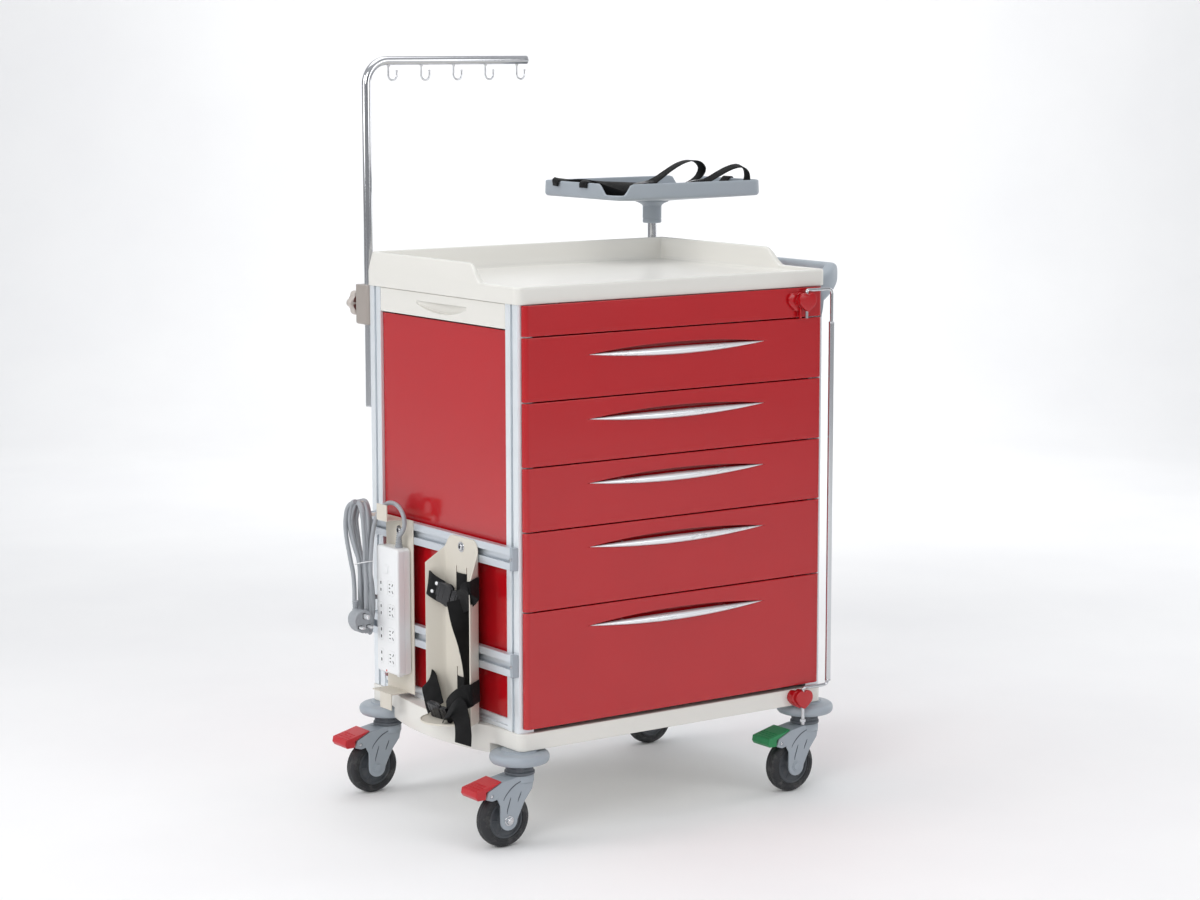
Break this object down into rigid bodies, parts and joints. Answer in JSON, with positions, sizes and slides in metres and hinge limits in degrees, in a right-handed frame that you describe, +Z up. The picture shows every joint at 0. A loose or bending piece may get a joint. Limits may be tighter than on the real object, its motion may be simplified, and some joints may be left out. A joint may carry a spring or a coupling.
{
  "type": "hospital emergency trolley",
  "caption": "Wheeled emergency trolley with pull-out drawers, a turning defibrillator shelf, infusion pole, drawer locking bar, pull-out side shelf and side accessories.",
  "frame": {"origin": "on the floor, under the centre of the whole object's outline", "axes": "+Z up, -Y towards the drawer fronts, +X towards the push handle"},
  "size_m": [0.904, 0.6564, 1.321],
  "materials": {
    "cream_plastic": "gloss",
    "cream_metal": "satin",
    "red_panel": "gloss",
    "red_plastic": "gloss",
    "frame_aluminium": "satin",
    "handle_silver": "satin",
    "steel": "satin",
    "chrome": "polished",
    "grey_plastic": "satin",
    "white_plastic": "gloss",
    "cord_grey": "matte",
    "webbing": "matte",
    "knob_brown": "satin",
    "hub_grey": "satin",
    "tyre_grey": "matte",
    "pedal_red": "gloss",
    "pedal_green": "gloss"
  },
  "bodies": {
    "cart": {"base_tray": "cream_plastic", "frame_extrusions": "frame_aluminium", "worktop": "cream_plastic", "side_panels": "red_panel", "back_panel": "red_panel", "top_fascia": "red_plastic", "accessory_rails": "frame_aluminium", "rail_end_caps": "grey_plastic", "push_handle": "grey_plastic", "slide_channels": "steel", "lock_brackets": "red_plastic", "pole_clamps": "frame_aluminium", "defib_post": "chrome", "power_bracket": "cream_metal", "power_strip": "white_plastic", "power_cord": "cord_grey", "cylinder_holder": "cream_metal", "cylinder_straps": "webbing", "caster_bumpers": "grey_plastic", "caster_stems": "steel", "fasteners": "steel"},
    "drawer_1": {"drawer_1_front": "red_plastic", "drawer_1_tub": "cream_plastic", "drawer_1_handle": "handle_silver"},
    "drawer_2": {"drawer_2_front": "red_plastic", "drawer_2_tub": "cream_plastic", "drawer_2_handle": "handle_silver"},
    "drawer_3": {"drawer_3_front": "red_plastic", "drawer_3_tub": "cream_plastic", "drawer_3_handle": "handle_silver"},
    "drawer_4": {"drawer_4_front": "red_plastic", "drawer_4_tub": "cream_plastic", "drawer_4_handle": "handle_silver"},
    "drawer_5": {"drawer_5_front": "red_plastic", "drawer_5_tub": "cream_plastic", "drawer_5_handle": "handle_silver"},
    "side_shelf": {"side_shelf": "cream_plastic"},
    "lock_bar": {"lock_bar": "chrome"},
    "iv_pole": {"iv_pole": "chrome"},
    "clamp_knob": {"clamp_knob": "knob_brown"},
    "defib_shelf": {"defib_collar": "grey_plastic", "defib_tray": "grey_plastic", "defib_straps": "webbing"},
    "power_switch": {"power_switch": "white_plastic"},
    "fl_fork": {"fl_fork": "grey_plastic"},
    "fl_wheel": {"fl_hub": "hub_grey", "fl_tyre": "tyre_grey"},
    "fl_pedal": {"fl_pedal": "pedal_red"},
    "fr_fork": {"fr_fork": "grey_plastic"},
    "fr_wheel": {"fr_hub": "hub_grey", "fr_tyre": "tyre_grey"},
    "fr_pedal": {"fr_pedal": "pedal_green"},
    "bl_fork": {"bl_fork": "grey_plastic"},
    "bl_wheel": {"bl_hub": "hub_grey", "bl_tyre": "tyre_grey"},
    "bl_pedal": {"bl_pedal": "pedal_red"},
    "br_fork": {"br_fork": "grey_plastic"},
    "br_wheel": {"br_hub": "hub_grey", "br_tyre": "tyre_grey"},
    "br_pedal": {"br_pedal": "pedal_red"}
  },
  "joints": [
    {"name": "drawer_1_slide", "type": "slide", "parent": "cart", "child": "drawer_1", "axis": [0, -1, 0], "range_m": [0, 0.34]},
    {"name": "drawer_2_slide", "type": "slide", "parent": "cart", "child": "drawer_2", "axis": [0, -1, 0], "range_m": [0, 0.34]},
    {"name": "drawer_3_slide", "type": "slide", "parent": "cart", "child": "drawer_3", "axis": [0, -1, 0], "range_m": [0, 0.34]},
    {"name": "drawer_4_slide", "type": "slide", "parent": "cart", "child": "drawer_4", "axis": [0, -1, 0], "range_m": [0, 0.34]},
    {"name": "drawer_5_slide", "type": "slide", "parent": "cart", "child": "drawer_5", "axis": [0, -1, 0], "range_m": [0, 0.34]},
    {"name": "side_shelf_slide", "type": "slide", "parent": "cart", "child": "side_shelf", "axis": [-1, 0, 0], "range_m": [0, 0.28]},
    {"name": "lock_bar_hinge", "type": "hinge", "parent": "cart", "child": "lock_bar", "pos_m": [0.235, -0.31925, 0.5], "axis": [0, 0, 1], "range_deg": [-180, 0]},
    {"name": "iv_pole_height", "type": "slide", "parent": "cart", "child": "iv_pole", "axis": [0, 0, 1], "range_m": [-0.1, 0.14]},
    {"name": "clamp_knob_turn", "type": "hinge", "parent": "cart", "child": "clamp_knob", "pos_m": [-0.348, 0.22875, 0.882], "axis": [0, 1, 0], "range_deg": [0, 360]},
    {"name": "defib_shelf_turn", "type": "hinge", "parent": "cart", "child": "defib_shelf", "pos_m": [0.281, 0.20375, 1.02], "axis": [0, 0, 1], "continuous": true},
    {"name": "power_switch_press", "type": "slide", "parent": "cart", "child": "power_switch", "axis": [1, 0, 0], "range_m": [0, 0.002]},
    {"name": "fl_swivel", "type": "hinge", "parent": "cart", "child": "fl_fork", "pos_m": [-0.347, -0.27525, 0.112], "axis": [0, 0, 1], "continuous": true},
    {"name": "fl_wheel_spin", "type": "hinge", "parent": "fl_fork", "child": "fl_wheel", "pos_m": [-0.382, -0.27525, 0.048], "axis": [0, 1, 0], "continuous": true},
    {"name": "fl_brake_press", "type": "hinge", "parent": "fl_fork", "child": "fl_pedal", "pos_m": [-0.417, -0.27525, 0.095], "axis": [0, 1, 0], "range_deg": [-12, 0]},
    {"name": "fr_swivel", "type": "hinge", "parent": "cart", "child": "fr_fork", "pos_m": [0.275, -0.27525, 0.112], "axis": [0, 0, 1], "continuous": true},
    {"name": "fr_wheel_spin", "type": "hinge", "parent": "fr_fork", "child": "fr_wheel", "pos_m": [0.24, -0.27525, 0.048], "axis": [0, 1, 0], "continuous": true},
    {"name": "fr_brake_press", "type": "hinge", "parent": "fr_fork", "child": "fr_pedal", "pos_m": [0.205, -0.27525, 0.095], "axis": [0, 1, 0], "range_deg": [-12, 0]},
    {"name": "bl_swivel", "type": "hinge", "parent": "cart", "child": "bl_fork", "pos_m": [-0.347, 0.15675, 0.112], "axis": [0, 0, 1], "continuous": true},
    {"name": "bl_wheel_spin", "type": "hinge", "parent": "bl_fork", "child": "bl_wheel", "pos_m": [-0.382, 0.15675, 0.048], "axis": [0, 1, 0], "continuous": true},
    {"name": "bl_brake_press", "type": "hinge", "parent": "bl_fork", "child": "bl_pedal", "pos_m": [-0.417, 0.15675, 0.095], "axis": [0, 1, 0], "range_deg": [-12, 0]},
    {"name": "br_swivel", "type": "hinge", "parent": "cart", "child": "br_fork", "pos_m": [0.275, 0.15675, 0.112], "axis": [0, 0, 1], "continuous": true},
    {"name": "br_wheel_spin", "type": "hinge", "parent": "br_fork", "child": "br_wheel", "pos_m": [0.24, 0.15675, 0.048], "axis": [0, 1, 0], "continuous": true},
    {"name": "br_brake_press", "type": "hinge", "parent": "br_fork", "child": "br_pedal", "pos_m": [0.205, 0.15675, 0.095], "axis": [0, 1, 0], "range_deg": [-12, 0]}
  ]
}
